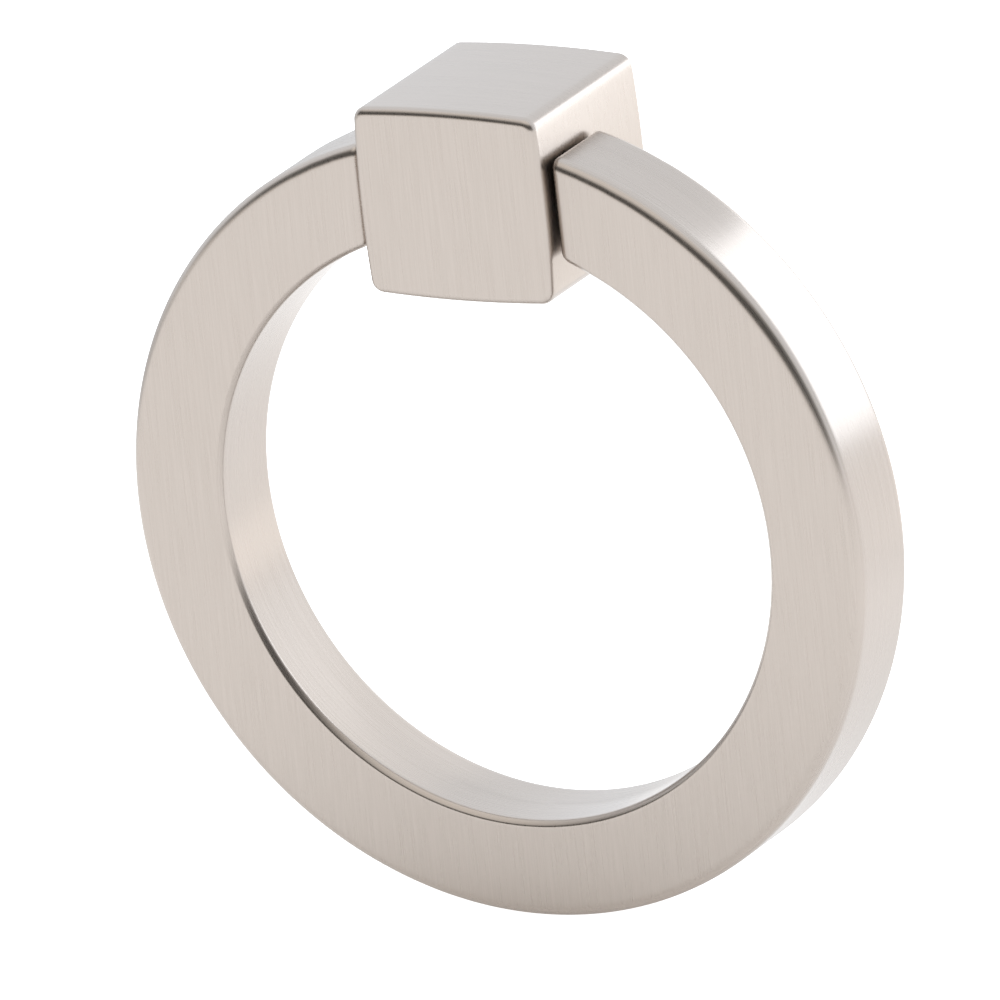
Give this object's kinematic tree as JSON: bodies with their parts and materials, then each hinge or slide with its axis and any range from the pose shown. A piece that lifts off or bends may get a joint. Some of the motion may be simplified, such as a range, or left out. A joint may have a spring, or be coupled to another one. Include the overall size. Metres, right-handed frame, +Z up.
{
  "type": "ring pull handle",
  "caption": "Ring pull for a drawer or door: a square-section ring swings on a cross pin through a crowned, cube-like mounting block that is fixed by a screw from behind.",
  "frame": {"origin": "mouth of the screw hole, in the middle of the block's flat back face", "axes": "-Y out of the drawer front towards the user, +X to the user's right, +Z up; the ring hangs down along -Z"},
  "size_m": [0.0762, 0.0195, 0.0792],
  "materials": {
    "satin_nickel": "satin brushed nickel plate on a zinc casting",
    "pin_steel": "ground steel"
  },
  "bodies": {
    "fixed_block": {"mount_block": "satin_nickel", "pivot_pin": "pin_steel"},
    "swinging_ring": {"pull_ring": "satin_nickel"}
  },
  "joints": [
    {"name": "ring_swing", "type": "hinge", "parent": "fixed_block", "child": "swinging_ring", "pos_m": [0, -0.01345, 0], "axis": [-1, 0, 0], "range_deg": [-7, 187]}
  ]
}
